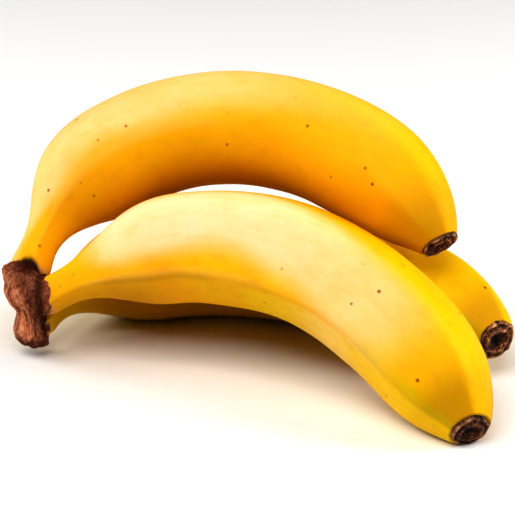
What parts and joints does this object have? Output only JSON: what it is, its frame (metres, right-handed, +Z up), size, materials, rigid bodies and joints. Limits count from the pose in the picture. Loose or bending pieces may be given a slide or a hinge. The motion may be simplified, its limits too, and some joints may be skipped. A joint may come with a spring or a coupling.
{
  "type": "bunch of bananas",
  "caption": "Bunch of ripe yellow bananas lying on its side: curved, ridged fingers joined at one dried brown crown, each with a dark dried tip.",
  "frame": {"origin": "on the table, under the middle of the bunch's bounding box", "axes": "+X from the crown towards the tips, +Y from the front finger towards the back, +Z up from the table"},
  "size_m": [0.173, 0.1315, 0.0907],
  "materials": {
    "peel": "smooth waxy banana peel, ripe yellow with a green cast at the tips and a few brown specks",
    "dried_stalk": "dried, fibrous, reddish brown stalk",
    "dried_blossom": "dried, crumbly, dark brown flower remnant with a tan rim"
  },
  "bodies": {
    "root": {"crown": "dried_stalk", "upper_banana": "peel", "front_banana": "peel", "rear_banana": "peel", "upper_blossom_end": "dried_blossom", "front_blossom_end": "dried_blossom", "rear_blossom_end": "dried_blossom"}
  },
  "joints": []
}
